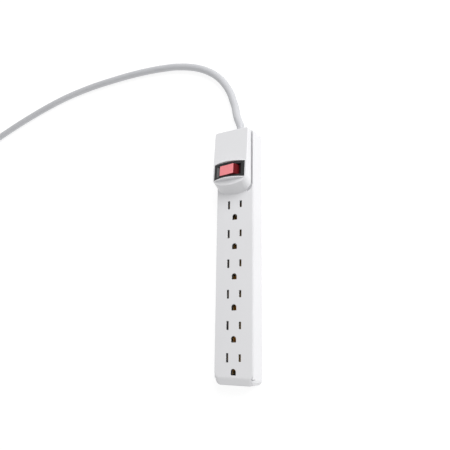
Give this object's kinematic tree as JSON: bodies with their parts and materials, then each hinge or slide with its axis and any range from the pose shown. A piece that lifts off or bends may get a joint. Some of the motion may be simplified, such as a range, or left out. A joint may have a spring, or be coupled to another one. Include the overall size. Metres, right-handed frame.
{
  "type": "power strip",
  "caption": "Slim white household power strip with a row of grounded outlets, a raised head with a lighted red rocker switch, and a round supply cord with a moulded plug.",
  "frame": {"origin": "under the middle of the casing, on the surface that its back lies on", "axes": "+Z out of the outlet face, +Y along the casing towards the end the cord leaves, +X across it"},
  "size_m": [0.5204, 0.3554, 0.0367],
  "materials": {
    "white_case": "fine satin, moulded ABS",
    "black_bezel": "satin gloss, moulded nylon",
    "red_lens": "glossy translucent red polycarbonate",
    "brass": "stamped, bright",
    "steel": "zinc plated",
    "silver": "silver plated",
    "cord_white": "soft satin PVC",
    "nylon": "natural nylon",
    "lamp_glass": "clear glass",
    "resistor_tan": "lacquered",
    "wire_black": "satin PVC",
    "wire_white": "satin PVC",
    "wire_green": "satin PVC",
    "tie_black": "matte"
  },
  "bodies": {
    "casing": {"base_shell": "white_case", "top_cover": "white_case", "casing_screw_1": "steel", "casing_screw_2": "steel", "casing_screw_3": "steel", "casing_screw_4": "steel", "casing_screw_5": "steel", "casing_screw_6": "steel", "strain_relief": "cord_white", "inner_cord": "cord_white", "cord_clamp": "nylon", "clamp_screw_1": "steel", "clamp_screw_2": "steel", "switch_frame": "black_bezel", "switch_base": "black_bezel", "line_terminal": "brass", "load_terminal": "brass", "lamp_terminal": "brass", "bimetal_arm": "silver", "neon_lamp": "lamp_glass", "lamp_resistor": "resistor_tan", "line_bus": "brass", "neutral_bus": "brass", "ground_bus": "brass", "line_wire": "wire_black", "load_wire": "wire_black", "neutral_wire": "wire_white", "ground_wire": "wire_green", "lamp_wire": "wire_white", "line_receptacle": "nylon", "load_receptacle": "nylon", "lamp_receptacle": "nylon", "power_cord": "cord_white", "cord_coil": "cord_white", "coil_tie": "tie_black", "plug_body": "cord_white", "plug_line_blade": "brass", "plug_neutral_blade": "brass", "plug_ground_pin": "brass"},
    "rocker": {"rocker": "red_lens", "plunger": "nylon", "plunger_spring": "steel"},
    "contact_arm": {"contact_arm": "brass"}
  },
  "joints": [
    {"name": "rocker_tilt", "type": "hinge", "parent": "casing", "child": "rocker", "pos_m": [0, 0.0754, 0.0277], "axis": [0, 0.9973, -0.0738], "range_deg": [0, 16]},
    {"name": "contact_arm_tilt", "type": "hinge", "parent": "casing", "child": "contact_arm", "pos_m": [0, 0.07479, 0.01947], "axis": [0, 0.9973, -0.0738], "range_deg": [-12, 0]}
  ],
  "couplings": [
    {"joint": "contact_arm_tilt", "follows": "rocker_tilt", "ratio": -0.75}
  ]
}
